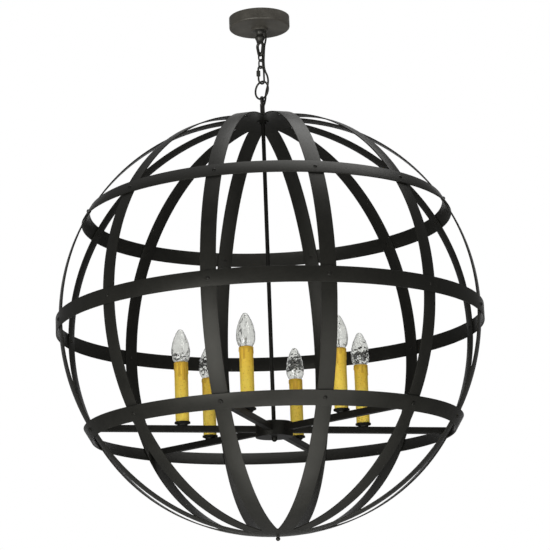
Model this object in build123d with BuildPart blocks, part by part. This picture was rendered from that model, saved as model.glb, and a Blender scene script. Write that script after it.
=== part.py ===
from build123d import *
import os
from math import asin, cos, degrees, pi, radians, sin, sqrt, tan

# Globe-cage pendant light. Millimetres, +Z up. The origin is on the ceiling, at the middle of the canopy,
# and everything hangs below it. The photographed front faces -Y, with +X to the right.

os.makedirs("parts", exist_ok=True)

# Globe: six hoops of flat strap, welded to a round plate at each pole, inside three bands
globe_diameter = 1067.0
strap_width = 38.0
strap_thickness = 3.0
strap_edge = 0.5
hoop_count = 6
hoop_start = 15.0
plate_diameter = 152.0
weld_gap = 0.15
band_clearance = 0.25
upper_latitude_degrees = 31.2
lower_latitude_degrees = 30.6

# Rivets and arm screws at the crossings
rivet_shank = 5.0
rivet_head = 10.0
rivet_head_height = 3.0
rivet_tail = 8.0
rivet_tail_height = 2.0
screw_head = 11.0
screw_head_height = 3.6
screw_socket = 3.0
screw_socket_depth = 2.0
hole_fit = 0.15
seat_gap = 0.1
cut_length = 12.0

# Centre rod, and what holds the plates at the poles
rod_diameter = 10.3
rod_bore = 7.0
thread_fit = 0.1
locknut_width = 15.0
locknut_height = 5.0
washer_diameter = 30.0
washer_thickness = 2.0
bolt_diameter = 6.0
bolt_head_width = 10.0
bolt_head_height = 4.0
finial_ball = 11.0
finial_neck = 8.0
finial_neck_height = 4.0
finial_engagement = 8.0

# Hub and arms
hub_diameter = 93.0
hub_height = 34.0
hub_wall = 2.5
hub_edge = 3.0
hub_crown = 4.5
hub_lip = 3.0
hub_nut_diameter = 14.0
hub_nut_height = 11.0
hub_nut_engagement = 7.0
arm_count = 6
arm_width = 16.0
arm_wall = 1.5
arm_corner = 1.2
arm_root_radius = 34.0
arm_cap = 6.0
arm_fit = 0.15
arm_seat_gap = 0.25
lead_window = 5.5

# Candles
candle_radius = 231.0
cup_diameter = 39.0
cup_base = 24.0
cup_flare = 1.0
cup_height = 9.0
cup_floor = 5.0
sleeve_diameter = 33.5
sleeve_wall = 1.25
sleeve_length = 152.0
sleeve_edge = 0.5
sleeve_fit = 0.35
socket_height = 42.0
socket_floor = 12.0
socket_fit = 0.5
socket_setback = 7.0
stem_engagement = 6.0

# Bulbs
bulb_cap_diameter = 26.6
bulb_cap_height = 24.0
bulb_thread_pitch = 3.6
bulb_thread_depth = 0.8
bulb_contact_diameter = 9.0
bulb_contact_height = 2.5
bulb_diameter = 46.0
bulb_neck = 26.0
bulb_neck_flare = 1.6
bulb_wide_height = 26.0
bulb_waist = 37.6
bulb_waist_height = 54.0
bulb_point = 19.0
bulb_point_height = 75.0
bulb_tip_length = 8.0
bulb_wall = 1.0
bulb_fit = 0.3

# Inner wiring
lead_diameter = 4.0
lead_bend = 9.0
lead_gap = 0.3

# Ceiling end
canopy_diameter = 156.0
canopy_depth = 29.5
canopy_wall = 1.2
canopy_edge = 4.5
barrel_diameter = 36.0
barrel_top = 10.0
barrel_bottom = 36.5
collar_diameter = 42.0
collar_height = 6.0
collar_edge = 1.5
running_gap = 0.3
crossbar_length = 112.0
crossbar_width = 20.0
crossbar_thickness = 2.5
crossbar_hole = 4.6
crossbar_spacing = 88.9
nipple_engagement = 10.0

# The loop's turned neck, as a radius and a drop below the barrel: boss, waist, bead and crown
neck_points = [(11.0, 0.0), (11.2, 3.0), (8.2, 9.8), (12.6, 18.0), (10.4, 24.5), (9.0, 30.5)]

# Suspension: the planes of the links alternate by a quarter turn
loop_azimuth = -45.0
link_azimuth = 45.0
loop_wire = 7.6
loop_top_radius = 9.8
loop_bottom_radius = 6.2
loop_shoulder = 76.8
loop_bottom = 100.8
link_wire = 4.0
link_length = 23.0
link_radius = 6.75
quick_wire = 4.8
quick_length = 46.5
quick_radius = 10.0
quick_gap = 4.6
quick_gap_below_bend = 5.3
quick_nut_width = 9.2
quick_nut_length = 14.0
quick_nut_lap = 1.0
ring_wire = 5.0
ring_radius = 23.0
eye_azimuth = 70.0
eye_hole = 11.0
eye_hole_height = 13.0
eye_wall = 4.2
eye_thickness = 5.6
eye_edge = 1.8
eye_neck = 10.0
stem_diameter = 12.0
stem_length = 34.0
stem_gap = 3.4
stem_lap = 14.0
stem_bore_rise = 12.0

# Supply cord: the points of its route, from the barrel's wire hole down beside the links into the stem
cord_diameter = 5.0
cord_channel_fit = 0.4
cord_corner_share = 0.45
cord_points = [
    (14.0, 2.0, -16.0),
    (14.2, 2.0, -34.0),
    (15.2, 1.9, -45.0),
    (15.6, 1.7, -55.0),
    (14.0, 1.5, -64.0),
    (11.4, 1.3, -74.0),
    (9.9, 1.2, -88.0),
    (9.1, 0.8, -101.0),
    (8.0, 0.2, -114.0),
    (8.0, -0.2, -134.0),
    (11.0, -1.2, -147.0),
    (15.8, -2.2, -158.0),
    (17.6, -2.6, -171.0),
    (15.8, -2.0, -184.0),
    (12.2, -1.2, -196.0),
    (9.7, -0.6, -208.0),
    (9.1, -1.0, -219.0),
    (6.8, -2.6, -230.0),
    (2.8, -1.6, -241.0),
    (0.4, -0.2, -252.0),
]

# Radii that follow from the sizes above
hoop_step = 180.0 / hoop_count
rib_azimuths = [hoop_start + hoop_step * k for k in range(2 * hoop_count)]
arm_azimuths = [hoop_start + 360.0 / arm_count * k for k in range(arm_count)]
band_outer = globe_diameter / 2
band_inner = band_outer - strap_thickness
hoop_outer = sqrt((band_inner - band_clearance) ** 2 - (strap_width / 2) ** 2)
hoop_inner = hoop_outer - strap_thickness
crossing_grip = band_outer - hoop_inner
rod_hole = rod_diameter + 2 * thread_fit
bolt_hole = bolt_diameter + 2 * thread_fit

# Levels of the suspension, from the canopy's loop down to the globe's middle
loop_bottom_z = -loop_bottom
link_1_top = loop_bottom_z + loop_wire / 2 + link_wire / 2 + running_gap
link_1_bottom = link_1_top - link_length
link_2_top = link_1_bottom + link_wire + running_gap
link_2_bottom = link_2_top - link_length
quick_top = link_2_bottom + link_wire / 2 + quick_wire / 2 + running_gap
quick_bottom = quick_top - quick_length
ring_top = quick_bottom + quick_wire / 2 + ring_wire / 2 + running_gap
ring_bottom = ring_top - 2 * ring_radius
eye_hole_top = ring_bottom + ring_wire / 2 + running_gap
eye_hole_foot = eye_hole_top - eye_hole_height
stem_top = eye_hole_foot - eye_wall
stem_foot = stem_top - stem_length
rod_top = stem_foot + stem_lap
globe_z = stem_foot - stem_gap - locknut_height - washer_thickness - 2 * seat_gap - hoop_outer

# Levels of the arms, candles and hub
arm_reach = hoop_inner - arm_seat_gap
arm_z = globe_z - arm_reach * sin(radians(lower_latitude_degrees))
arm_top = arm_z + arm_width / 2
sleeve_foot = arm_top + cup_floor
sleeve_top = sleeve_foot + sleeve_length
socket_diameter = sleeve_diameter - 2 * sleeve_wall - 2 * socket_fit
socket_top = sleeve_top - socket_setback
socket_foot = socket_top - socket_height
socket_seat = socket_foot + socket_floor
cap_foot = socket_seat + bulb_fit
cap_top = cap_foot + bulb_contact_height + bulb_cap_height
hub_foot = arm_z - hub_height / 2
hub_shoulder = arm_z + hub_height / 2
rod_foot = hub_foot - hub_wall - hub_nut_engagement


def vertical_plane(azimuth, z=0.0):
    """A plane through the light's axis: local X points outwards, local Y points up."""
    outward = (cos(radians(azimuth)), sin(radians(azimuth)), 0)
    square = (sin(radians(azimuth)), -cos(radians(azimuth)), 0)
    return Plane(origin=(0, 0, z), x_dir=outward, z_dir=square)


def surface_plane(azimuth, latitude, radius):
    """A plane that lies on the globe at this radius: local Z points out of the globe, local X points up."""
    a = radians(azimuth)
    b = radians(latitude)
    out = Vector(cos(b) * cos(a), cos(b) * sin(a), sin(b))
    up = Vector(-sin(b) * cos(a), -sin(b) * sin(a), cos(b))
    return Plane(origin=Vector(0, 0, globe_z) + out * radius, x_dir=up, z_dir=out)


def save(piece, name):
    """Labels one finished piece and writes it."""
    piece.part.label = name
    export_step(piece.part, f"parts/{name}.step")


def copies(shape, places):
    """One node that holds the same piece at several places."""
    with BuildPart() as group:
        for place in places:
            add(shape.part.moved(Location(place)))
    return group


def hex_ring(width, bore, height, z):
    """A hexagon nut, or any hexagon with a round bore, standing on the level z."""
    with BuildPart() as nut:
        with BuildSketch(Plane.XY.offset(z)):
            RegularPolygon(width / 2, 6, major_radius=False)
            Circle(bore / 2, mode=Mode.SUBTRACT)
        extrude(amount=height)
    return nut


def round_ring(diameter, bore, height, z):
    """A washer or a plain tube standing on the level z."""
    with BuildPart() as ring:
        with BuildSketch(Plane.XY.offset(z)):
            Circle(diameter / 2)
            Circle(bore / 2, mode=Mode.SUBTRACT)
        extrude(amount=height)
    return ring


def joined(*pieces):
    """One node made of several separate solids."""
    with BuildPart() as group:
        for piece in pieces:
            add(piece.part)
    return group


# Cord route: straight runs with an arc at each corner, as large as the shorter run allows
def corner_radii(points):
    radii = []
    for before, corner, after in zip(points, points[1:], points[2:]):
        run_in = Vector(*corner) - Vector(*before)
        run_out = Vector(*after) - Vector(*corner)
        half_turn = radians(run_in.get_angle(run_out)) / 2
        radii.append(cord_corner_share * min(run_in.length, run_out.length) / tan(half_turn))
    return radii


def cord_tube(diameter):
    """A tube along the cord's route: the cord itself, or the wider channel that it passes through."""
    with BuildPart() as tube:
        with BuildLine() as route:
            FilletPolyline(*cord_points, radius=corner_radii(cord_points))
        with BuildSketch(Plane(origin=route.line @ 0, z_dir=route.line % 0)):
            Circle(diameter / 2)
        sweep(path=route.wire())
    return tube, route.wire().length


supply_cord, cord_length = cord_tube(cord_diameter)
cord_channel = cord_tube(cord_diameter + 2 * cord_channel_fit)[0]
save(supply_cord, "supply_cord")
print("cord radii", [round(r, 1) for r in corner_radii(cord_points)])
print("cord length", round(cord_length, 1))
print("cord volume over section times length",
      round(supply_cord.part.volume / (pi * cord_diameter ** 2 / 4 * cord_length), 4))


# Ceiling bar, nipple and locknut
with BuildPart() as crossbar:
    with BuildSketch(Plane.XY):
        SlotOverall(crossbar_length, crossbar_width)
        Circle(rod_hole / 2, mode=Mode.SUBTRACT)
        with GridLocations(crossbar_spacing, 0, 2, 1):
            Circle(crossbar_hole / 2, mode=Mode.SUBTRACT)
    extrude(amount=-crossbar_thickness)
save(crossbar, "crossbar")

nipple_length = barrel_top + nipple_engagement
threaded_nipple = round_ring(rod_diameter, rod_bore, nipple_length, -nipple_length)
save(threaded_nipple, "threaded_nipple")
nipple_locknut = hex_ring(locknut_width, rod_hole, locknut_height, -crossbar_thickness - locknut_height)
save(nipple_locknut, "nipple_locknut")

# Canopy: a shallow spun dish, open to the ceiling, with a hole that passes the barrel and the eye
with BuildPart() as canopy:
    with BuildSketch(Plane.XY):
        Circle(canopy_diameter / 2)
    extrude(amount=-canopy_depth)
    fillet(canopy.faces().sort_by(Axis.Z)[0].edges(), canopy_edge)
    offset(amount=-canopy_wall, openings=canopy.faces().sort_by(Axis.Z)[-1])
    with Locations((0, 0, -canopy_depth)):
        Cylinder(barrel_diameter / 2 + running_gap, cut_length, mode=Mode.SUBTRACT)
save(canopy, "canopy")

# Collar: the ring under the canopy, threaded on the barrel
collar_top = -canopy_depth - running_gap
collar_bore = barrel_diameter + 2 * running_gap
screw_collar = round_ring(collar_diameter, collar_bore, collar_height, collar_top - collar_height)
with screw_collar:
    outer_rim = screw_collar.faces().sort_by(Axis.Z)[0].outer_wire().edges()
    fillet(outer_rim, collar_edge)
save(screw_collar, "screw_collar")

# Canopy loop: threaded barrel, turned neck, and a tapered eye of round bar
loop_plane = vertical_plane(loop_azimuth)
loop_span = loop_bottom - loop_bottom_radius - loop_shoulder
loop_taper = degrees(asin((loop_top_radius - loop_bottom_radius) / loop_span))
with BuildPart() as canopy_loop:
    with BuildSketch(Plane.XZ):
        with BuildLine():
            barrel_radius = barrel_diameter / 2
            neck = Spline(*[(radius, -barrel_bottom - drop) for radius, drop in neck_points])
            Polyline(neck @ 1, (0, (neck @ 1).Y), (0, -barrel_top), (barrel_radius, -barrel_top),
                     (barrel_radius, -barrel_bottom), neck @ 0)
        make_face()
    revolve(axis=Axis.Z)
    with Locations((0, 0, -barrel_top - nipple_engagement / 2)):
        Cylinder(rod_hole / 2, nipple_engagement + seat_gap, mode=Mode.SUBTRACT)
    with BuildLine(loop_plane) as eye_path:
        top_arc = CenterArc((0, -loop_shoulder), loop_top_radius, -loop_taper, 180 + 2 * loop_taper)
        lower_arc = CenterArc((0, -loop_bottom + loop_bottom_radius), loop_bottom_radius,
                              180 + loop_taper, 180 - 2 * loop_taper)
        Line(top_arc @ 1, lower_arc @ 0)
        Line(lower_arc @ 1, top_arc @ 0)
    with BuildSketch(Plane(origin=eye_path.wire() @ 0, z_dir=eye_path.wire() % 0)):
        Circle(loop_wire / 2)
    sweep(path=eye_path.wire())
    add(cord_channel.part, mode=Mode.SUBTRACT)
save(canopy_loop, "canopy_loop")


# Chain links: closed links of round wire
def make_link(azimuth, top, length, radius, wire):
    with BuildPart() as link:
        with BuildLine(vertical_plane(azimuth)) as path:
            upper = CenterArc((0, top - radius), radius, 0, 180)
            lower = CenterArc((0, top - length + radius), radius, 180, 180)
            Line(upper @ 1, lower @ 0)
            Line(lower @ 1, upper @ 0)
        with BuildSketch(Plane(origin=path.wire() @ 0, z_dir=path.wire() % 0)):
            Circle(wire / 2)
        sweep(path=path.wire())
    return link


upper_chain_link = make_link(link_azimuth, link_1_top, link_length, link_radius, link_wire)
save(upper_chain_link, "upper_chain_link")
lower_chain_link = make_link(loop_azimuth, link_2_top, link_length, link_radius, link_wire)
save(lower_chain_link, "lower_chain_link")

# Quick link: an open link whose gap, at its left side, is closed by a long nut
quick_plane = vertical_plane(link_azimuth)
quick_bend_top = quick_top - quick_radius
quick_bend_foot = quick_bottom + quick_radius
gap_top = quick_bend_top - quick_gap_below_bend
gap_foot = gap_top - quick_gap
with BuildPart() as quick_link:
    with BuildLine(quick_plane) as quick_path:
        Line((-quick_radius, gap_foot), (-quick_radius, quick_bend_foot))
        CenterArc((0, quick_bend_foot), quick_radius, 180, 180)
        Line((quick_radius, quick_bend_foot), (quick_radius, quick_bend_top))
        CenterArc((0, quick_bend_top), quick_radius, 0, 180)
        Line((-quick_radius, quick_bend_top), (-quick_radius, gap_top))
    with BuildSketch(Plane(origin=quick_path.wire() @ 0, z_dir=quick_path.wire() % 0)):
        Circle(quick_wire / 2)
    sweep(path=quick_path.wire())
save(quick_link, "quick_link")

nut_top = gap_top + quick_nut_lap
nut_centre = quick_plane.from_local_coords(Vector(-quick_radius, nut_top, 0))
with BuildPart() as quick_link_nut:
    with BuildSketch(Plane(origin=nut_centre, x_dir=quick_plane.x_dir, z_dir=(0, 0, 1))):
        RegularPolygon(quick_nut_width / 2, 6, major_radius=False)
        Circle(quick_wire / 2 + running_gap, mode=Mode.SUBTRACT)
    extrude(amount=-quick_nut_length)
save(quick_link_nut, "quick_link_nut")

# Hanging ring
ring_plane = vertical_plane(loop_azimuth)
with BuildPart() as hanging_ring:
    with BuildSketch(Plane(origin=(0, 0, ring_top), x_dir=ring_plane.z_dir, z_dir=ring_plane.x_dir)):
        Circle(ring_wire / 2)
    revolve(axis=Axis((0, 0, ring_top - ring_radius), ring_plane.z_dir))
save(hanging_ring, "hanging_ring")

# Stem eye: a flat eye on a round stem, with a slanting slot for the cord
eye_radius = eye_hole / 2 + eye_wall
eye_centre = eye_hole_top - eye_hole / 2
eye_shoulder = eye_hole_foot + eye_hole / 2
eye_foot = stem_top - eye_neck / 2
eye_plane = vertical_plane(eye_azimuth)
with BuildPart() as stem_eye:
    with BuildSketch(eye_plane):
        with BuildLine():
            CenterArc((0, eye_centre), eye_radius, 0, 180)
            Line((-eye_radius, eye_centre), (-eye_radius, eye_shoulder))
            Polyline((-eye_radius, eye_shoulder), (-stem_diameter / 2, eye_foot),
                     (stem_diameter / 2, eye_foot), (eye_radius, eye_shoulder), (eye_radius, eye_centre))
        make_face()
        with Locations((0, (eye_hole_top + eye_hole_foot) / 2)):
            SlotOverall(eye_hole_height, eye_hole, rotation=90, mode=Mode.SUBTRACT)
    extrude(amount=eye_thickness / 2, both=True)
    rims = [e for e in stem_eye.edges() if abs((e @ 1 - e @ 0).dot(eye_plane.z_dir)) < 0.01]
    fillet([e for e in rims if e.center().Z > eye_foot + 0.01], eye_edge)
    with Locations((0, 0, (stem_top + stem_foot) / 2)):
        Cylinder(stem_diameter / 2, stem_length)
    bore_top = rod_top + stem_bore_rise
    with Locations((0, 0, (bore_top + stem_foot) / 2)):
        Cylinder(rod_bore / 2, bore_top - stem_foot, mode=Mode.SUBTRACT)
    with Locations((0, 0, (rod_top + seat_gap + stem_foot) / 2)):
        Cylinder(rod_hole / 2, rod_top + seat_gap - stem_foot, mode=Mode.SUBTRACT)
    add(cord_channel.part, mode=Mode.SUBTRACT)
save(stem_eye, "stem_eye")

# Centre rod: a pipe with a side window inside the hub, where the arm leads come out
with BuildPart() as center_rod:
    with BuildSketch(Plane.XY.offset(rod_foot)):
        Circle(rod_diameter / 2)
        Circle(rod_bore / 2, mode=Mode.SUBTRACT)
    extrude(amount=rod_top - rod_foot)
    with Locations(Location((0, 0, arm_z), (0, 90, hoop_start + hoop_step))):
        Cylinder(lead_window / 2, 2 * rod_diameter, mode=Mode.SUBTRACT)
save(center_rod, "center_rod")

# Washers and locknuts that clamp the plate at the top pole
clamp_top = globe_z + hoop_outer + seat_gap
clamp_foot = globe_z + sqrt(hoop_inner ** 2 - (washer_diameter / 2) ** 2) - seat_gap
upper_washer = round_ring(washer_diameter, rod_hole, washer_thickness, clamp_top)
lower_washer = round_ring(washer_diameter, rod_hole, washer_thickness, clamp_foot - washer_thickness)
save(joined(upper_washer, lower_washer), "pole_washers")
upper_nut_foot = clamp_top + washer_thickness + seat_gap
lower_nut_foot = clamp_foot - washer_thickness - seat_gap - locknut_height
upper_locknut = hex_ring(locknut_width, rod_hole, locknut_height, upper_nut_foot)
lower_locknut = hex_ring(locknut_width, rod_hole, locknut_height, lower_nut_foot)
save(joined(upper_locknut, lower_locknut), "pole_locknuts")

# Pole plates: dished round plates, with a hole for the rod above and for the bolt below
with BuildPart() as pole_plates:
    with Locations((0, 0, globe_z)):
        Cylinder(plate_diameter / 2, globe_diameter)
        Sphere(hoop_outer, mode=Mode.INTERSECT)
        Sphere(hoop_inner, mode=Mode.SUBTRACT)
    with Locations((0, 0, globe_z + hoop_outer)):
        Cylinder(rod_hole / 2 + hole_fit, cut_length, mode=Mode.SUBTRACT)
    with Locations((0, 0, globe_z - hoop_outer)):
        Cylinder(bolt_hole / 2 + hole_fit, cut_length, mode=Mode.SUBTRACT)
save(pole_plates, "pole_plates")


# Hoops: each is two straps in one plane, cut round at their ends to fit the plates
def half_hoop(azimuth):
    with BuildPart() as strap:
        with BuildSketch(vertical_plane(azimuth, globe_z)):
            with BuildLine():
                outside = CenterArc((0, 0), hoop_outer, -90, 180)
                inside = CenterArc((0, 0), hoop_inner, -90, 180)
                Line(outside @ 0, inside @ 0)
                Line(outside @ 1, inside @ 1)
            make_face()
        extrude(amount=strap_width / 2, both=True)
        chamfer([e for e in strap.edges() if e.length > globe_diameter], strap_edge)
        with Locations((0, 0, globe_z)):
            Cylinder(plate_diameter / 2 + weld_gap, globe_diameter, mode=Mode.SUBTRACT)
        crossings = [
            Location(surface_plane(azimuth, latitude, hoop_outer))
            for latitude in (upper_latitude_degrees, 0, -lower_latitude_degrees)
        ]
        with Locations(*crossings):
            Cylinder(rivet_shank / 2 + hole_fit, cut_length, mode=Mode.SUBTRACT)
    return strap


for number, azimuth in enumerate(rib_azimuths[:hoop_count]):
    save(joined(half_hoop(azimuth), half_hoop(azimuth + 180)), f"hoop_{number + 1}")


# Bands: rolled to the globe's slope and riveted outside the hoops
def make_band(latitude):
    middle = band_inner + strap_thickness / 2
    with BuildPart() as band:
        with BuildSketch(vertical_plane(0, globe_z)):
            with Locations((middle * cos(radians(latitude)), middle * sin(radians(latitude)))):
                RectangleRounded(strap_thickness, strap_width, strap_edge, rotation=latitude)
        revolve(axis=Axis.Z)
        crossings = [Location(surface_plane(azimuth, latitude, band_outer)) for azimuth in rib_azimuths]
        with Locations(*crossings):
            Cylinder(rivet_shank / 2 + hole_fit, cut_length, mode=Mode.SUBTRACT)
    return band


save(make_band(upper_latitude_degrees), "upper_band")
save(make_band(0), "equator_band")
save(make_band(-lower_latitude_degrees), "lower_band")

# Rivets: domed head outside the band, shank through band and hoop, upset tail inside
dome_radius = ((rivet_head / 2) ** 2 + rivet_head_height ** 2) / (2 * rivet_head_height)
dome_centre = seat_gap + rivet_head_height - dome_radius
dome_start = degrees(asin((seat_gap - dome_centre) / dome_radius))
tail_top = -crossing_grip - seat_gap
tail_foot = tail_top - rivet_tail_height
with BuildPart() as rivet:
    with BuildSketch(Plane.XZ):
        with BuildLine():
            dome = CenterArc((0, dome_centre), dome_radius, dome_start, 90 - dome_start)
            Polyline(dome @ 1, (0, tail_foot), (rivet_tail / 2, tail_foot), (rivet_tail / 2, tail_top),
                     (rivet_shank / 2, tail_top), (rivet_shank / 2, seat_gap), dome @ 0)
        make_face()
    revolve(axis=Axis.Z)

plain_azimuths = [a for a in rib_azimuths if a not in arm_azimuths]
upper_places = [surface_plane(a, upper_latitude_degrees, band_outer) for a in rib_azimuths]
equator_places = [surface_plane(a, 0, band_outer) for a in rib_azimuths]
lower_places = [surface_plane(a, -lower_latitude_degrees, band_outer) for a in plain_azimuths]
arm_places = [surface_plane(a, -lower_latitude_degrees, band_outer) for a in arm_azimuths]
save(copies(rivet, upper_places), "upper_band_rivets")
save(copies(rivet, equator_places), "equator_rivets")
save(copies(rivet, lower_places), "lower_band_rivets")

# Arm screws: button heads, through band and hoop into the closed ends of the arms
screw_length = band_outer - arm_reach + arm_cap
with BuildPart() as arm_screw:
    with BuildSketch(Plane.XY.offset(seat_gap)):
        Circle(screw_head / 2)
    extrude(amount=screw_head_height)
    fillet(arm_screw.faces().sort_by(Axis.Z)[-1].edges(), screw_head_height / 2)
    with BuildSketch(Plane.XY.offset(seat_gap + screw_head_height)):
        RegularPolygon(screw_socket / 2, 6, major_radius=False)
    extrude(amount=-screw_socket_depth, mode=Mode.SUBTRACT)
    with BuildSketch(Plane.XY.offset(seat_gap)):
        Circle(rivet_shank / 2)
    extrude(amount=-screw_length)
save(copies(arm_screw, arm_places), "arm_screws")

# Bottom pole: a bolt through the plate, with its head inside and a ball finial below
bolt_top = globe_z - hoop_inner + seat_gap
bolt_foot = globe_z - hoop_outer - finial_engagement
with BuildPart() as bottom_bolt:
    with BuildSketch(Plane.XY.offset(bolt_top)):
        RegularPolygon(bolt_head_width / 2, 6, major_radius=False)
    extrude(amount=bolt_head_height)
    with BuildSketch(Plane.XY.offset(bolt_foot)):
        Circle(bolt_diameter / 2)
    extrude(amount=bolt_top - bolt_foot)
save(bottom_bolt, "bottom_bolt")

finial_top = globe_z - hoop_outer - seat_gap
ball_z = finial_top - finial_neck_height - sqrt((finial_ball / 2) ** 2 - (finial_neck / 2) ** 2)
with BuildPart() as bottom_finial:
    with Locations((0, 0, ball_z)):
        Sphere(finial_ball / 2)
    with BuildSketch(Plane.XY.offset(finial_top)):
        Circle(finial_neck / 2)
    extrude(amount=ball_z - finial_top)
    with BuildSketch(Plane.XY.offset(finial_top)):
        Circle(bolt_hole / 2)
    extrude(amount=bolt_foot - seat_gap - finial_top, mode=Mode.SUBTRACT)
save(bottom_finial, "bottom_finial")

# Hub: a domed round box that takes the arm ends through square windows, with a cover and a cap nut below
def hub_outline(inset):
    """The edges of half the hub's outline, moved inwards by the inset: a straight side under a dome."""
    side = hub_diameter / 2 - inset
    shoulder = hub_shoulder - inset
    dome_radius = (side ** 2 + hub_crown ** 2) / (2 * hub_crown)
    dome_turn = degrees(asin(side / dome_radius))
    with BuildLine() as outline:
        dome = CenterArc((0, shoulder + hub_crown - dome_radius), dome_radius, 90 - dome_turn, dome_turn)
        Polyline(dome @ 1, (0, hub_foot), (side, hub_foot), dome @ 0)
    return outline.edges()


with BuildPart() as hub_body:
    with BuildSketch(Plane.XZ):
        make_face(hub_outline(0))
    revolve(axis=Axis.Z)
    fillet([e for e in hub_body.edges() if e.length > 2 * hub_diameter and e.center().Z > arm_z], hub_edge)
    with BuildSketch(Plane.XZ):
        make_face(hub_outline(hub_wall))
    revolve(axis=Axis.Z, mode=Mode.SUBTRACT)
    with Locations((0, 0, hub_shoulder + hub_crown)):
        Cylinder(rod_hole / 2, cut_length, mode=Mode.SUBTRACT)
    with Locations((0, 0, arm_z)):
        with PolarLocations(hub_diameter / 2, arm_count, start_angle=hoop_start):
            window = arm_width + 2 * arm_fit
            Box(cut_length, window, window, mode=Mode.SUBTRACT)
save(hub_body, "hub_body")

with BuildPart() as hub_cover:
    with Locations((0, 0, hub_foot - seat_gap - hub_wall / 2)):
        Cylinder(hub_diameter / 2, hub_wall)
    fillet(hub_cover.faces().sort_by(Axis.Z)[0].edges(), hub_wall / 2)
    lip_outer = hub_diameter / 2 - hub_wall - arm_fit
    with BuildSketch(Plane.XY.offset(hub_foot - seat_gap)):
        Circle(lip_outer)
        Circle(lip_outer - hub_wall, mode=Mode.SUBTRACT)
    extrude(amount=hub_lip)
    with Locations((0, 0, hub_foot)):
        Cylinder(rod_hole / 2, cut_length, mode=Mode.SUBTRACT)
save(hub_cover, "hub_cover")

hub_nut_top = hub_foot - hub_wall - 2 * seat_gap
with BuildPart() as hub_cap_nut:
    with BuildSketch(Plane.XZ):
        with BuildLine():
            nut_radius = hub_nut_diameter / 2
            nut_side = hub_nut_top - hub_nut_height + nut_radius
            CenterArc((0, nut_side), nut_radius, -90, 90)
            Polyline((nut_radius, nut_side), (nut_radius, hub_nut_top),
                     (0, hub_nut_top), (0, nut_side - nut_radius))
        make_face()
    revolve(axis=Axis.Z)
    with BuildSketch(Plane.XY.offset(hub_nut_top)):
        Circle(rod_hole / 2)
    extrude(amount=rod_foot - seat_gap - hub_nut_top, mode=Mode.SUBTRACT)
save(hub_cap_nut, "hub_cap_nut")


# Arms: square tubes from the hub to the lower band, closed and cut to the globe's slope at the outer end
def make_arm(azimuth):
    plane = vertical_plane(azimuth, globe_z)
    slope = radians(lower_latitude_degrees)
    level = arm_z - globe_z
    half = arm_width / 2
    inside = half - arm_wall

    def end_radius(height):
        return (arm_reach + height * sin(slope)) / cos(slope)

    with BuildPart() as arm:
        with BuildSketch(plane):
            with BuildLine():
                Polyline((arm_root_radius, level - half), (end_radius(level - half), level - half),
                         (end_radius(level + half), level + half), (arm_root_radius, level + half),
                         close=True)
            make_face()
        extrude(amount=half, both=True)
        fillet([e for e in arm.edges() if e.length > candle_radius], arm_corner)
        tube_end = end_radius(level - half) - arm_cap / cos(slope)
        with BuildSketch(plane):
            with Locations(((arm_root_radius + tube_end) / 2, level)):
                Rectangle(tube_end - arm_root_radius, 2 * inside)
        extrude(amount=inside, both=True, mode=Mode.SUBTRACT)
        stem_place = plane.from_local_coords(Vector(candle_radius, level + half, 0))
        with Locations(stem_place):
            Cylinder(rod_hole / 2, cut_length, mode=Mode.SUBTRACT)
        with Locations(Location(surface_plane(azimuth, -lower_latitude_degrees, arm_reach))):
            Cylinder(rivet_shank / 2 + thread_fit, 2 * (arm_cap + 2 * seat_gap), mode=Mode.SUBTRACT)
    return arm


for number, azimuth in enumerate(arm_azimuths):
    save(make_arm(azimuth), f"arm_{number + 1}")

# Candles stand on the arms; each of their pieces is made on the axis and placed on the six arms
candle_places = [
    Location((candle_radius * cos(radians(a)), candle_radius * sin(radians(a)), 0), (0, 0, a))
    for a in arm_azimuths
]

with BuildPart() as candle_cup:
    with BuildSketch(Plane.XZ):
        with BuildLine():
            recess = sleeve_diameter / 2 + sleeve_fit
            floor_level = sleeve_foot - seat_gap
            Polyline((rod_hole / 2, arm_top + seat_gap), (cup_base / 2, arm_top + seat_gap),
                     (cup_base / 2 + cup_flare, arm_top + cup_floor / 2),
                     (cup_diameter / 2, arm_top + cup_floor), (cup_diameter / 2, arm_top + cup_height),
                     (recess, arm_top + cup_height),
                     (recess, floor_level), (rod_hole / 2, floor_level), close=True)
        make_face()
    revolve(axis=Axis.Z)
save(copies(candle_cup, candle_places), "candle_cups")

candle_sleeve = round_ring(sleeve_diameter, sleeve_diameter - 2 * sleeve_wall, sleeve_length, sleeve_foot)
with candle_sleeve:
    fillet(candle_sleeve.faces().sort_by(Axis.Z)[-1].edges(), sleeve_edge)
save(copies(candle_sleeve, candle_places), "candle_sleeves")

with BuildPart() as socket:
    with BuildSketch(Plane.XY.offset(socket_foot)):
        Circle(socket_diameter / 2)
    extrude(amount=socket_height)
    with BuildSketch(Plane.XY.offset(socket_top)):
        Circle(bulb_cap_diameter / 2 + bulb_fit)
    extrude(amount=socket_seat - socket_top, mode=Mode.SUBTRACT)
    with BuildSketch(Plane.XY.offset(socket_foot)):
        Circle(rod_hole / 2)
    extrude(amount=stem_engagement, mode=Mode.SUBTRACT)
save(copies(socket, candle_places), "sockets")

stem_base = arm_top - arm_wall - stem_engagement
stem_height = socket_foot + stem_engagement - seat_gap - stem_base
socket_stem = round_ring(rod_diameter, rod_bore, stem_height, stem_base)
save(copies(socket_stem, candle_places), "socket_stems")

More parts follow.
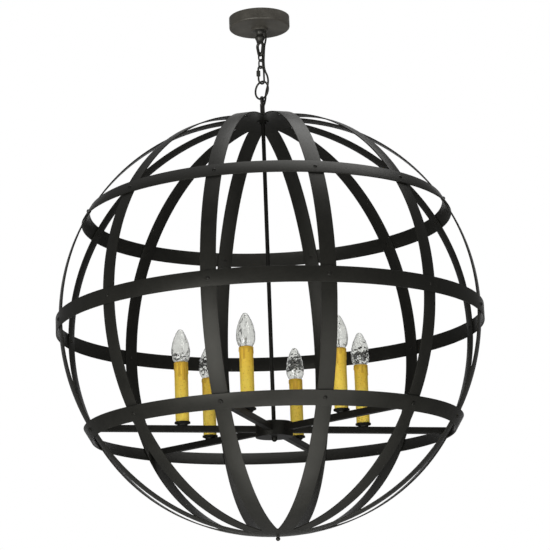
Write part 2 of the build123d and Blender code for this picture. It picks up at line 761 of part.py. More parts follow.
# Bulbs: a flame-shaped glass envelope on a screw cap
with BuildPart() as bulb_cap:
    with BuildSketch(Plane.XY.offset(cap_foot + bulb_contact_height)):
        Circle(bulb_cap_diameter / 2 - bulb_thread_depth)
    extrude(amount=bulb_cap_height)
    with BuildSketch(Plane.XY.offset(cap_foot)):
        Circle(bulb_contact_diameter / 2)
    extrude(amount=bulb_contact_height)
    thread_turns = int(bulb_cap_height / bulb_thread_pitch) - 1
    for turn in range(thread_turns):
        thread_z = cap_foot + bulb_contact_height + (turn + 1) * bulb_thread_pitch
        with Locations((0, 0, thread_z)):
            Cylinder(bulb_cap_diameter / 2, bulb_thread_pitch / 2)

glass_foot = cap_top + seat_gap
glass_tip = sleeve_top + bulb_point_height + bulb_tip_length
glass_wide = sleeve_top + bulb_wide_height


def glass_outline(inset):
    """The edges of half the envelope's outline, moved inwards by the inset and open at its foot."""
    neck = bulb_neck / 2 - inset
    wide = bulb_diameter / 2 - inset
    with BuildLine() as outline:
        Polyline((0, glass_tip - inset), (0, glass_foot), (neck, glass_foot), (neck, sleeve_top))
        Spline((neck, sleeve_top), (wide, glass_wide), tangents=((bulb_neck_flare, 1), (0, 1)))
        Spline((wide, glass_wide),
               (bulb_waist / 2 - inset, sleeve_top + bulb_waist_height),
               (bulb_point / 2 - inset, sleeve_top + bulb_point_height),
               (0, glass_tip - inset), tangents=((0, 1), (-1, 0)))
    return outline.edges()


with BuildPart() as bulb_glass:
    with BuildSketch(Plane.XZ):
        make_face(glass_outline(0))
    revolve(axis=Axis.Z)
    with BuildSketch(Plane.XZ):
        make_face(glass_outline(bulb_wall))
    revolve(axis=Axis.Z, mode=Mode.SUBTRACT)

for number, place in enumerate(candle_places):
    save(copies(bulb_glass, [place]), f"bulb_glass_{number + 1}")
    save(copies(bulb_cap, [place]), f"bulb_cap_{number + 1}")

# Inner wiring: a bundle of leads that fills the rod, and one along each arm and up its socket stem
lead_top = cord_points[-1][2] - cord_diameter / 2
with BuildPart() as rod_lead:
    with BuildSketch(Plane.XY.offset(arm_z)):
        Circle(rod_bore / 2 - seat_gap)
    extrude(amount=lead_top - arm_z)

lead_z = arm_z - arm_width / 2 + arm_wall + lead_gap + lead_diameter / 2
with BuildPart() as arm_lead:
    with BuildLine(Plane.XZ) as lead_route:
        lead_root = (arm_root_radius - candle_radius, lead_z)
        FilletPolyline(lead_root, (0, lead_z), (0, socket_foot), radius=lead_bend)
    with BuildSketch(Plane(origin=lead_route.wire() @ 0, z_dir=lead_route.wire() % 0)):
        Circle(lead_diameter / 2)
    sweep(path=lead_route.wire())
save(joined(rod_lead, copies(arm_lead, candle_places)), "inner_wiring")

print("globe diameter", globe_diameter, "height", round(finial_ball / 2 - ball_z, 1))
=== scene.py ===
# %% [markdown]
# # A globe-cage pendant light
#
# The light is a ball of flat dark straps with six candles inside, hung from a round ceiling plate by a few
# links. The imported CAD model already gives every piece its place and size. This file dresses it: finer
# meshes where the eye comes close, a finish for every surface, and a camera that stands where the
# photographer stood.

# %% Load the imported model
import math
import random

import bmesh
import bpy
from mathutils import Matrix, Vector, noise


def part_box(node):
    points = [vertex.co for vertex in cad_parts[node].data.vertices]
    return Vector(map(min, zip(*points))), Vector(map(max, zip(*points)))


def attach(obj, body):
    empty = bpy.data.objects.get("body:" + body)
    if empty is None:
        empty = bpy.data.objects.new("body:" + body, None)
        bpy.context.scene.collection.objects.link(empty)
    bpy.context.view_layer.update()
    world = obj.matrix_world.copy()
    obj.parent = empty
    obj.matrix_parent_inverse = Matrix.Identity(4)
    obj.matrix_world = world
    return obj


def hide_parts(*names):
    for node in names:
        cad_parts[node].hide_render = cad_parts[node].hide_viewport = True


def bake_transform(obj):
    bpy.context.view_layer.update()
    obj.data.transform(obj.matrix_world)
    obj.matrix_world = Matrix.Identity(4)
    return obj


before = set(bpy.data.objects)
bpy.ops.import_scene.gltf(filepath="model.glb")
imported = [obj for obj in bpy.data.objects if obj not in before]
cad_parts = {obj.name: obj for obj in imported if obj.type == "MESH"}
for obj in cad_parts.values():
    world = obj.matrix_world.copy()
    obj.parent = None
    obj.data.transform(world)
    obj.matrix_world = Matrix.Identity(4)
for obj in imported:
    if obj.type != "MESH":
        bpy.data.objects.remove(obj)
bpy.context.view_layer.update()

scene = bpy.context.scene

# %% [markdown]
# ## Camera
#
# The photo was taken from below the middle of the ball, looking up at it with a long lens, and the picture
# leans by about two degrees. Those numbers come from fitting the crossings of the straps, so they are
# written down here as they are, and the camera's axes are worked out from them.

# %% Camera
EYE = Vector((0.0, -5.2405, -1.9328))
PAN = math.radians(0.179)
PITCH = math.radians(13.404)
ROLL = math.radians(-2.123)
FOCAL_PIXELS = 2144.5
PICTURE_PIXELS = 550
SENSOR = 36.0

forward = Vector((math.sin(PAN) * math.cos(PITCH), math.cos(PAN) * math.cos(PITCH), math.sin(PITCH)))
level = Vector((math.cos(PAN), -math.sin(PAN), 0.0))
upright = level.cross(forward)
right = math.cos(ROLL) * level + math.sin(ROLL) * upright
up = math.cos(ROLL) * upright - math.sin(ROLL) * level

camera_data = bpy.data.cameras.new("photo_camera")
camera_data.sensor_width = SENSOR
camera_data.lens = FOCAL_PIXELS / PICTURE_PIXELS * SENSOR
camera = bpy.data.objects.new("photo_camera", camera_data)
camera.matrix_world = Matrix.Translation(EYE) @ Matrix((right, up, -forward)).transposed().to_4x4()
scene.collection.objects.link(camera)
scene.camera = camera
print("lens", round(camera_data.lens, 2), "mm")

# %% [markdown]
# ## Helpers for shapes
#
# Most of the fine pieces are either turned, like a bulb, or drawn along a line, like a wire. Two small
# helpers make them: one spins an outline about an upright axis, the other carries a ring of points along a
# path.

# %% Turned shapes and tubes
def mesh_object(name, vertices, faces, smooth=True):
    """A new mesh object at the origin."""
    mesh = bpy.data.meshes.new(name)
    mesh.from_pydata(vertices, [], faces)
    mesh.validate()
    for polygon in mesh.polygons:
        polygon.use_smooth = smooth
    made = bpy.data.objects.new(name, mesh)
    scene.collection.objects.link(made)
    return made


def turned(name, outline, centre, segments, shift=None):
    """Spins an outline of (radius, height) about the upright axis through centre; a radius of 0 is one point.
    shift(angle, step) may move a point outwards. The outline runs upwards on the outside."""
    vertices = []
    rings = []
    for step, (radius, height) in enumerate(outline):
        if radius == 0:
            rings.append([len(vertices)])
            vertices.append(centre + Vector((0, 0, height)))
            continue
        ring = []
        for k in range(segments):
            angle = 2 * math.pi * k / segments
            reach = radius + (shift(angle, step) if shift else 0)
            ring.append(len(vertices))
            vertices.append(centre + Vector((reach * math.cos(angle), reach * math.sin(angle), height)))
        rings.append(ring)
    faces = []
    for low, high in zip(rings, rings[1:]):
        for k in range(segments):
            n = (k + 1) % segments
            if len(low) == 1 and len(high) == 1:
                continue
            if len(low) == 1:
                faces.append((low[0], high[n], high[k]))
            elif len(high) == 1:
                faces.append((low[k], low[n], high[0]))
            else:
                faces.append((low[k], low[n], high[n], high[k]))
    return mesh_object(name, vertices, faces)


def tube(name, path, radius, sides=12):
    """A closed tube along a path of points, with a UV map that runs round it and along it in metres."""
    directions = []
    for k in range(len(path)):
        before = path[max(k - 1, 0)]
        after = path[min(k + 1, len(path) - 1)]
        directions.append((after - before).normalized())
    side = directions[0].orthogonal().normalized()
    vertices = []
    along = [0.0]
    for k, point in enumerate(path):
        if k:
            side = (side - directions[k] * side.dot(directions[k])).normalized()
            along.append(along[-1] + (point - path[k - 1]).length)
        other = directions[k].cross(side)
        for s in range(sides):
            angle = 2 * math.pi * s / sides
            vertices.append(point + radius * (math.cos(angle) * side + math.sin(angle) * other))
    faces = [
        (k * sides + s, k * sides + (s + 1) % sides, (k + 1) * sides + (s + 1) % sides, (k + 1) * sides + s)
        for k in range(len(path) - 1)
        for s in range(sides)
    ]
    faces.append(tuple(reversed(range(sides))))
    faces.append(tuple((len(path) - 1) * sides + s for s in range(sides)))
    made = mesh_object(name, vertices, faces)
    layer = made.data.uv_layers.new(name="along")
    for loop in made.data.loops:
        ring, s = divmod(loop.vertex_index, sides)
        layer.data[loop.index].uv = (s / sides, along[ring])
    return made


def joined(name, pieces):
    """Several mesh objects made one."""
    merged = bmesh.new()
    for piece in pieces:
        merged.from_mesh(piece.data)
    mesh = bpy.data.meshes.new(name)
    merged.to_mesh(mesh)
    merged.free()
    for piece in pieces:
        bpy.data.objects.remove(piece)
    made = bpy.data.objects.new(name, mesh)
    scene.collection.objects.link(made)
    return made


print("helpers ready")

# %% [markdown]
# ## Supply cord
#
# A thin round cord comes out of the ceiling fitting, hangs beside the links and slips into the top of the
# stem. Its route is the same list of points that the CAD tube uses. A NURBS spline rounds them into one
# smooth line, and the tube follows points read back from that spline. Each link can swing, so the cord is
# made in five stretches.

# %% Cord route
CORD_DIAMETER = 0.005
CORD_ROUTE = [
    (0.0140, 0.0020, -0.016), (0.0142, 0.0020, -0.034), (0.0152, 0.0019, -0.045), (0.0156, 0.0017, -0.055),
    (0.0140, 0.0015, -0.064), (0.0114, 0.0013, -0.074), (0.0099, 0.0012, -0.088), (0.0091, 0.0008, -0.101),
    (0.0080, 0.0002, -0.114), (0.0080, -0.0002, -0.134), (0.0110, -0.0012, -0.147),
    (0.0158, -0.0022, -0.158), (0.0176, -0.0026, -0.171), (0.0158, -0.0020, -0.184),
    (0.0122, -0.0012, -0.196), (0.0097, -0.0006, -0.208), (0.0091, -0.0010, -0.219),
    (0.0068, -0.0026, -0.230), (0.0028, -0.0016, -0.241), (0.0004, -0.0002, -0.252),
]


def spline_points(name, route, resolution):
    """Points along the smooth NURBS line that has this route as its control points."""
    curve = bpy.data.curves.new(name, "CURVE")
    curve.dimensions = "3D"
    curve.resolution_u = resolution
    spline = curve.splines.new("NURBS")
    spline.points.add(len(route) - 1)
    for point, place in zip(spline.points, route):
        point.co = (*place, 1.0)
    spline.order_u = 3
    spline.use_endpoint_u = True
    holder = bpy.data.objects.new(name, curve)
    scene.collection.objects.link(holder)
    mesh = bpy.data.meshes.new_from_object(holder.evaluated_get(bpy.context.evaluated_depsgraph_get()))
    points = [v.co.copy() for v in mesh.vertices]
    bpy.data.objects.remove(holder)
    bpy.data.curves.remove(curve)
    bpy.data.meshes.remove(mesh)
    return points


cord_line = spline_points("cord_route", CORD_ROUTE, 12)
print("cord line", len(cord_line), "points")

# %% Cord stretches
CORD_CUTS = [-0.1015, -0.134, -0.170, -0.205]
CORD_BENDS = [
    ("ceiling_fitting", "upper_link", -0.082, -0.1005),
    ("upper_link", "lower_link", -0.103, -0.1325),
    ("lower_link", "quick_link", -0.1355, -0.165),
    ("quick_link", "ring", -0.1715, -0.203),
    ("ring", "globe", -0.207, -0.235),
]

cut_places = [min(range(len(cord_line)), key=lambda k: abs(cord_line[k].z - z)) for z in CORD_CUTS]
edges = [0, *cut_places, len(cord_line) - 1]
cord_pieces = []
for number, (upper_body, lower_body, bend_top, bend_foot) in enumerate(CORD_BENDS):
    path = cord_line[edges[number]:edges[number + 1] + 1]
    stretch = tube(f"cord_stretch_{number + 1}", path, CORD_DIAMETER / 2)
    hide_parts("supply_cord")
    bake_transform(stretch)
    cord_pieces.append(stretch)

# %% [markdown]
# ## Helpers for finishes
#
# Every finish is a small node tree. One helper adds a node and fills its sockets, another starts a material
# and hands back its shader, and a third makes a node group, so that an effect used on many pieces is built
# once. The small ones after them stand for the nodes that come up most: mixing, arithmetic, noise and a
# change of range.

# %% Node helpers
def feed(tree, made, values):
    """Fills a node's sockets by name or number; a socket as value becomes a link."""
    for key, value in values.items():
        if isinstance(value, bpy.types.NodeSocket):
            tree.links.new(value, made.inputs[key])
        else:
            made.inputs[key].default_value = value


def node(tree, kind, values=None, **settings):
    """Adds a node, with its settings and the values of its sockets."""
    made = tree.nodes.new(kind)
    for key, value in settings.items():
        setattr(made, key, value)
    feed(tree, made, values or {})
    return made


def start_material(name):
    """A new material with only a Principled shader; returns the material, its tree and the shader."""
    made = bpy.data.materials.new(name)
    made.use_nodes = True
    tree = made.node_tree
    tree.nodes.clear()
    shader = node(tree, "ShaderNodeBsdfPrincipled")
    output = node(tree, "ShaderNodeOutputMaterial", {"Surface": shader.outputs[0]})
    output.target = "ALL"
    return made, tree, shader


def start_group(name, inputs, outputs):
    """A shader group with named sockets; returns the group, its input node and its output node."""
    group = bpy.data.node_groups.new(name, "ShaderNodeTree")
    for label, kind, value in inputs:
        group.interface.new_socket(label, in_out="INPUT", socket_type=kind).default_value = value
    for label, kind in outputs:
        group.interface.new_socket(label, in_out="OUTPUT", socket_type=kind)
    return group, node(group, "NodeGroupInput"), node(group, "NodeGroupOutput")


def mixed(tree, factor, first, second):
    """The colour between two colours."""
    made = node(tree, "ShaderNodeMix", {0: factor, 6: first, 7: second}, data_type="RGBA")
    return made.outputs[2]


def calculated(tree, operation, first, second):
    """One step of arithmetic."""
    return node(tree, "ShaderNodeMath", {0: first, 1: second}, operation=operation).outputs[0]


def noise_at(tree, place, scale, detail=2.0, roughness=0.5):
    """A value between 0 and 1 that changes softly from place to place."""
    return node(tree, "ShaderNodeTexNoise", {
        "Vector": place, "Scale": scale, "Detail": detail, "Roughness": roughness}).outputs[0]


def remapped(tree, value, low, high, first=0.0, last=1.0):
    """Spreads the values between low and high over first to last; those outside stop at the ends."""
    return node(tree, "ShaderNodeMapRange", {"Value": value, 1: low, 2: high, 3: first, 4: last}).outputs[0]


print("node helpers ready")

# %% [markdown]
# ## Dark bronze paint
#
# The straps, the arms and the hardware are steel under a matte, nearly black bronze paint. Close up it is
# not one colour: there are soft cloudy patches a few centimetres wide, a fine spatter from the spray, and a
# slight orange-peel bump. The group below makes all three from noise in object space, and each finish gives
# it its own two colours. A second group tells which way a face points, so that faces looking into the ball
# can be painted darker, a painted shade for the inside of the ball.

# %% Paint groups
COLOUR = "NodeSocketColor"
NUMBER = "NodeSocketFloat"

paint_group, given, result = start_group(
    "sprayed_paint",
    [("Dark", COLOUR, (0.03, 0.03, 0.03, 1)), ("Light", COLOUR, (0.06, 0.06, 0.06, 1)),
     ("Patches per metre", NUMBER, 22.0), ("Spatter per metre", NUMBER, 420.0), ("Roughness", NUMBER, 0.55)],
    [("Color", COLOUR), ("Roughness", NUMBER), ("Height", NUMBER)])
place = node(paint_group, "ShaderNodeTexCoord").outputs["Object"]
patches = noise_at(paint_group, place, given.outputs["Patches per metre"], detail=4.0, roughness=0.6)
spatter = noise_at(paint_group, place, given.outputs["Spatter per metre"])
cloud = remapped(paint_group, patches, 0.3, 0.7)
speck = remapped(paint_group, spatter, 0.35, 0.7)
blend = calculated(paint_group, "ADD", calculated(paint_group, "MULTIPLY", cloud, 0.6),
                   calculated(paint_group, "MULTIPLY", speck, 0.4))
shade = mixed(paint_group, blend, given.outputs["Dark"], given.outputs["Light"])
rough = calculated(paint_group, "ADD", given.outputs["Roughness"],
                   calculated(paint_group, "MULTIPLY", speck, 0.12))
feed(paint_group, result, {"Color": shade, "Roughness": rough, "Height": spatter})

band_low, band_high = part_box("equator_band")
GLOBE_CENTRE = Vector((0, 0, (band_low.z + band_high.z) / 2))
facing_group, given, result = start_group("facing_out_of_the_ball", [], [("Outside", NUMBER)])
coordinates = node(facing_group, "ShaderNodeTexCoord")
spoke = node(facing_group, "ShaderNodeVectorMath", {0: coordinates.outputs["Object"], 1: tuple(GLOBE_CENTRE)},
             operation="SUBTRACT").outputs[0]
spoke = node(facing_group, "ShaderNodeVectorMath", {0: spoke}, operation="NORMALIZE").outputs[0]
slant = node(facing_group, "ShaderNodeVectorMath", {0: spoke, 1: coordinates.outputs["Normal"]},
             operation="DOT_PRODUCT").outputs["Value"]
feed(facing_group, result, {"Outside": remapped(facing_group, slant, -0.3, 0.3)})
print("paint groups ready")

# %% Paint finishes
def painted(name, dark, light, roughness, gloss=0.22, shaded_inside_share=None):
    """Sprayed paint; the last argument, when given, is the share of its colour kept on faces that look into
    the ball: painted shade.
    """
    made, tree, shader = start_material(name)
    paint = node(tree, "ShaderNodeGroup", node_tree=paint_group)
    feed(tree, paint, {"Dark": (*dark, 1), "Light": (*light, 1), "Roughness": roughness})
    colour = paint.outputs["Color"]
    if shaded_inside_share is not None:
        facing = node(tree, "ShaderNodeGroup", node_tree=facing_group)
        # Faces that look into the ball are darkened towards black: a painted shade for the inside of the
        # ball.
        shaded_inside_colour = mixed(tree, 1.0 - shaded_inside_share, colour, (0.0, 0.0, 0.0, 1))
        colour = mixed(tree, facing.outputs["Outside"], shaded_inside_colour, colour)
    bump = node(tree, "ShaderNodeBump", {
        "Height": paint.outputs["Height"], "Strength": 0.25, "Distance": 0.0004})
    feed(tree, shader, {
        "Base Color": colour, "Roughness": paint.outputs["Roughness"], "Normal": bump.outputs[0],
        "Specular IOR Level": gloss, "Specular Tint": (1.0, 0.985, 0.90, 1)})
    return made


# The inner faces of the straps keep three quarters of their colour, a painted shade within the ball.
strap_paint = painted("strap_paint", (0.010, 0.010, 0.0085), (0.018, 0.0175, 0.015), 0.36, shaded_inside_share=0.75)
# Arms, hub and cups get the same bronze made darker: painted shade for the parts within the ball.
shaded_cluster_paint = painted("shaded_cluster_paint", (0.004, 0.004, 0.0034), (0.010, 0.0098, 0.0085), 0.38)
canopy_paint = painted("canopy_paint", (0.042, 0.038, 0.031), (0.132, 0.124, 0.106), 0.34, gloss=0.5)
link_paint = painted("link_paint", (0.018, 0.0175, 0.015), (0.060, 0.058, 0.052), 0.32, gloss=0.45)
print("paints", strap_paint.name, shaded_cluster_paint.name, canopy_paint.name, link_paint.name)

# %% [markdown]
# ## Straps
#
# The ball is six hoops and three bands of the same flat strap. Each hoop is two straps that run from the
# plate at one pole to the plate at the other. The CAD straps are right in size, but their facets show on
# such large circles. A strap is a rule, a flat section carried along a line, so Geometry Nodes draw it: the
# script lays down the points, each with the direction that the strap faces there, and the tree sweeps a
# rounded rectangle along them. Width, thickness and edge are inputs, so all nine share one tree.

# %% Strap tree
STRAP_WIDTH = 0.038
STRAP_THICKNESS = 0.003
STRAP_EDGE = 0.0005


def start_tree(name, inputs):
    """A geometry tree with a geometry input and output and these named inputs."""
    tree = bpy.data.node_groups.new(name, "GeometryNodeTree")
    tree.interface.new_socket("Geometry", in_out="INPUT", socket_type="NodeSocketGeometry")
    for label, kind in inputs:
        tree.interface.new_socket(label, in_out="INPUT", socket_type=kind)
    tree.interface.new_socket("Geometry", in_out="OUTPUT", socket_type="NodeSocketGeometry")
    return tree, node(tree, "NodeGroupInput"), node(tree, "NodeGroupOutput")


def end_tree(tree, geometry, material, output):
    """Realize Instances and Set Material, then out."""
    real = node(tree, "GeometryNodeRealizeInstances", {"Geometry": geometry})
    dressed = node(tree, "GeometryNodeSetMaterial", {"Geometry": real.outputs[0], "Material": material})
    tree.links.new(dressed.outputs[0], output.inputs[0])


strap_tree, given, result = start_tree("flat_strap_along_a_line", [
    ("Width", NUMBER), ("Thickness", NUMBER), ("Edge", NUMBER), ("Material", "NodeSocketMaterial")])
line = node(strap_tree, "GeometryNodeMeshToCurve", {"Mesh": given.outputs["Geometry"]})
facing = node(strap_tree, "GeometryNodeInputNamedAttribute", {"Name": "facing"}, data_type="FLOAT_VECTOR")
line = node(strap_tree, "GeometryNodeSetCurveNormal", {
    "Curve": line.outputs[0], "Normal": facing.outputs[0]}, mode="FREE")
section = node(strap_tree, "GeometryNodeCurvePrimitiveQuadrilateral", {
    "Width": given.outputs["Thickness"], "Height": given.outputs["Width"]})
section = node(strap_tree, "GeometryNodeFilletCurve", {
    "Curve": section.outputs[0], "Count": 3, "Radius": given.outputs["Edge"]}, mode="POLY")
swept = node(strap_tree, "GeometryNodeCurveToMesh", {
    "Curve": line.outputs[0], "Profile Curve": section.outputs[0], "Fill Caps": True})
end_tree(strap_tree, swept.outputs[0], given.outputs["Material"], result)
print("strap tree", len(strap_tree.nodes), "nodes")

# %% Run a tree and keep a plain mesh
SHARP_ANGLE = math.radians(24)


def grown(name, source, tree, values):
    """Runs a geometry tree on a source mesh and returns a new object with the plain mesh that comes out."""
    carrier = bpy.data.objects.new(name + "_source", source)
    scene.collection.objects.link(carrier)
    modifier = carrier.modifiers.new("tree", "NODES")
    modifier.node_group = tree
    for item in tree.interface.items_tree:
        if item.in_out == "INPUT" and item.name in values:
            modifier[item.identifier] = values[item.name]
    depsgraph = bpy.context.evaluated_depsgraph_get()
    mesh = bpy.data.meshes.new_from_object(carrier.evaluated_get(depsgraph))
    carrier.modifiers.remove(modifier)
    bpy.data.objects.remove(carrier)
    mesh.name = name
    mesh.set_sharp_from_angle(angle=SHARP_ANGLE)
    made = bpy.data.objects.new(name, mesh)
    scene.collection.objects.link(made)
    return made


def marked_points(name, points, edges):
    """A mesh of points, each with the direction that it faces, and the edges that join them."""
    mesh = bpy.data.meshes.new(name)
    mesh.from_pydata([place for place, _ in points], edges, [])
    layer = mesh.attributes.new("facing", "FLOAT_VECTOR", "POINT")
    for k, (_, direction) in enumerate(points):
        layer.data[k].vector = direction
    return mesh


print("tree runner ready")

# %% Hoops
BALL_RADIUS = 0.5335
BAND_GAP = 0.00025
HOOP_OUTER = math.sqrt((BALL_RADIUS - STRAP_THICKNESS - BAND_GAP) ** 2 - (STRAP_WIDTH / 2) ** 2)
PLATE_RADIUS = 0.076
HOOP_COUNT = 6
HOOP_STEPS = 96
RIB_AZIMUTHS = [15 + 30 * k for k in range(2 * HOOP_COUNT)]
END_REACH = PLATE_RADIUS + 0.004


def on_ball(azimuth, latitude):
    """The direction from the ball's middle to a place on it."""
    a = math.radians(azimuth)
    b = math.radians(latitude)
    return Vector((math.cos(b) * math.cos(a), math.cos(b) * math.sin(a), math.sin(b)))


def fit_ends(mesh):
    """Draws the ends of a hoop's straps in or out to the round rim of the pole plates."""
    for vertex in mesh.vertices:
        reach = math.hypot(vertex.co.x, vertex.co.y)
        if reach < END_REACH:
            vertex.co.x *= PLATE_RADIUS / reach
            vertex.co.y *= PLATE_RADIUS / reach


strap_middle = HOOP_OUTER - STRAP_THICKNESS / 2
strap_end = math.degrees(math.acos(PLATE_RADIUS / strap_middle))
strap_values = {
    "Width": STRAP_WIDTH, "Thickness": STRAP_THICKNESS, "Edge": STRAP_EDGE, "Material": strap_paint}
for number in range(HOOP_COUNT):
    facings = [on_ball(azimuth, strap_end * (2 * k / HOOP_STEPS - 1))
               for azimuth in RIB_AZIMUTHS[number::HOOP_COUNT] for k in range(HOOP_STEPS + 1)]
    joins = [(k, k + 1) for k in range(len(facings) - 1) if k != HOOP_STEPS]
    source = marked_points("hoop_lines", [(GLOBE_CENTRE + d * strap_middle, d) for d in facings], joins)
    hoop = grown(f"strap_hoop_{number + 1}", source, strap_tree, strap_values)
    fit_ends(hoop.data)
    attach(hoop, "globe")
    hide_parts(f"hoop_{number + 1}")
    print(hoop.name, len(hoop.data.polygons), "faces, size", [round(1000 * d) for d in hoop.dimensions])

# %% Bands
UPPER_LATITUDE = 31.2
LOWER_LATITUDE = -30.6
BAND_LATITUDES = {"upper_band": UPPER_LATITUDE, "equator_band": 0.0, "lower_band": LOWER_LATITUDE}
BAND_STEPS = 240
ring_edges = [(k, (k + 1) % BAND_STEPS) for k in range(BAND_STEPS)]
for node_name, latitude in BAND_LATITUDES.items():
    ring_points = []
    for k in range(BAND_STEPS):
        direction = on_ball(360 * k / BAND_STEPS, latitude)
        ring_points.append((GLOBE_CENTRE + direction * (BALL_RADIUS - STRAP_THICKNESS / 2), direction))
    source = marked_points("band_ring", ring_points, ring_edges)
    band = grown(f"strap_{node_name}", source, strap_tree, strap_values)
    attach(band, "globe")
    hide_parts(node_name)
    print(band.name, len(band.data.polygons), "faces, size", [round(1000 * d) for d in band.dimensions])

# %% [markdown]
# ## Rivets and arm screws
#
# Each crossing of hoop and band is held by one fastener: a rivet with a round head, or, where an arm ends,
# a button-head screw. Hand-set rivets are never quite alike, so the tree that sets them turns each one to
# its own angle and varies its size by a few percent, with a fixed seed. The fastener itself is an input.

# %% Fastener tree
fastener_tree, given, result = start_tree("fasteners_on_the_ball", [
    ("Fastener", "NodeSocketObject"), ("Size spread", NUMBER), ("Seed", "NodeSocketInt"),
    ("Material", "NodeSocketMaterial")])
spots = node(fastener_tree, "GeometryNodeMeshToPoints", {"Mesh": given.outputs["Geometry"]})
facing = node(fastener_tree, "GeometryNodeInputNamedAttribute", {"Name": "facing"}, data_type="FLOAT_VECTOR")
stand = node(fastener_tree, "FunctionNodeAlignRotationToVector", {"Vector": facing.outputs[0]}, axis="Z")
spin = node(fastener_tree, "FunctionNodeRandomValue", {2: 0.0, 3: math.tau, "Seed": given.outputs["Seed"]})
spin = node(fastener_tree, "FunctionNodeAxisAngleToRotation", {"Axis": (0, 0, 1), "Angle": spin.outputs[1]})
stand = node(fastener_tree, "FunctionNodeRotateRotation", {
    "Rotation": stand.outputs[0], "Rotate By": spin.outputs[0]}, rotation_space="LOCAL")
least = calculated(fastener_tree, "SUBTRACT", 1.0, given.outputs["Size spread"])
size = node(fastener_tree, "FunctionNodeRandomValue", {2: least, 3: 1.0, "Seed": given.outputs["Seed"]})
piece = node(fastener_tree, "GeometryNodeObjectInfo", {"Object": given.outputs["Fastener"]})
placed = node(fastener_tree, "GeometryNodeInstanceOnPoints", {
    "Points": spots.outputs[0], "Instance": piece.outputs["Geometry"], "Rotation": stand.outputs[0],
    "Scale": size.outputs[1]})
end_tree(fastener_tree, placed.outputs[0], given.outputs["Material"], result)
print("fastener tree", len(fastener_tree.nodes), "nodes")

# %% Rivet and screw shapes
SEAT = 0.0001
HEAD_RADIUS = 0.005
HEAD_HEIGHT = 0.003
HEAD_SIDES = 20
TAIL_RADIUS = 0.004
TAIL_HEIGHT = 0.002
TAIL_SIDE = 0.0012
GRIP = BALL_RADIUS - (HOOP_OUTER - STRAP_THICKNESS)
SCREW_RADIUS = 0.0055
SCREW_HEIGHT = 0.0036
SCREW_SIDE = 0.0018
SCREW_SHOULDER = 0.0028
SCREW_SIDES = 24
KEY_RADIUS = 0.0017
KEY_DEPTH = 0.002


def dome(radius, height, steps):
    """The outline of a round head from its rim to its top."""
    ball = (radius ** 2 + height ** 2) / (2 * height)
    first = math.asin(radius / ball)
    angles = [first * (1 - k / steps) for k in range(steps)]
    return [(ball * math.sin(a), height - ball + ball * math.cos(a)) for a in angles] + [(0, height)]


centre = Vector((0, 0, 0))
head = turned("rivet_head", [(0, SEAT), (HEAD_RADIUS, SEAT)] + [
    (r, SEAT + h) for r, h in dome(HEAD_RADIUS, HEAD_HEIGHT, 6)][1:], centre, HEAD_SIDES)
tail_top = -GRIP - SEAT
tail = turned("rivet_tail", [
    (0, tail_top - TAIL_HEIGHT), (TAIL_RADIUS * 0.8, tail_top - TAIL_HEIGHT),
    (TAIL_RADIUS, tail_top - TAIL_SIDE), (TAIL_RADIUS, tail_top), (0, tail_top)], centre, HEAD_SIDES)
rivet_shape = joined("rivet_shape", [head, tail])
screw_shape = turned("screw_shape", [
    (0, SEAT), (SCREW_RADIUS, SEAT), (SCREW_RADIUS, SEAT + SCREW_SIDE),
    (SCREW_RADIUS * 0.93, SEAT + SCREW_SHOULDER), (SCREW_RADIUS * 0.75, SEAT + SCREW_HEIGHT),
    (KEY_RADIUS, SEAT + SCREW_HEIGHT),
    (KEY_RADIUS, SEAT + SCREW_HEIGHT - KEY_DEPTH), (0, SEAT + SCREW_HEIGHT - KEY_DEPTH)], centre, SCREW_SIDES)
print("rivet", len(rivet_shape.data.polygons), "faces, screw", len(screw_shape.data.polygons), "faces")

# %% Set the fasteners
SIZE_SPREAD = 0.06
ARM_AZIMUTHS = RIB_AZIMUTHS[::2]
ARM_NUMBERS = range(1, len(ARM_AZIMUTHS) + 1)
plain_azimuths = [a for a in RIB_AZIMUTHS if a not in ARM_AZIMUTHS]
rivet_paint = painted("rivet_paint", (0.006, 0.006, 0.005), (0.012, 0.0115, 0.010), 0.45)
fastener_sets = [
    ("upper_band_rivets", rivet_shape, RIB_AZIMUTHS, UPPER_LATITUDE, 3),
    ("equator_rivets", rivet_shape, RIB_AZIMUTHS, 0.0, 5),
    ("lower_band_rivets", rivet_shape, plain_azimuths, LOWER_LATITUDE, 7),
    ("arm_screws", screw_shape, ARM_AZIMUTHS, LOWER_LATITUDE, 9),
]
for node_name, shape, azimuths, latitude, seed in fastener_sets:
    spots = [(GLOBE_CENTRE + on_ball(a, latitude) * BALL_RADIUS, on_ball(a, latitude)) for a in azimuths]
    heads = grown(f"set_{node_name}", marked_points("spots", spots, []), fastener_tree, {
        "Fastener": shape, "Size spread": SIZE_SPREAD, "Seed": seed, "Material": rivet_paint})
    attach(heads, "globe")
    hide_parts(node_name)
    print(heads.name, len(heads.data.polygons), "faces")
for shape in (rivet_shape, screw_shape):
    bpy.data.objects.remove(shape)

# %% [markdown]
# ## Which node wears which paint
#
# The rest of the metal keeps its CAD shape. Arms, hub and cups sit inside the ball, so their paint is a
# darker copy, a painted shade; the canopy is the warmest, and the small links are slightly glossier from
# handling.

# %% Dress the CAD nodes
def dress(names, finish):
    """Gives CAD nodes a finish in every slot that they have."""
    for name in names:
        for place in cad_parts[name].material_slots:
            place.material = finish


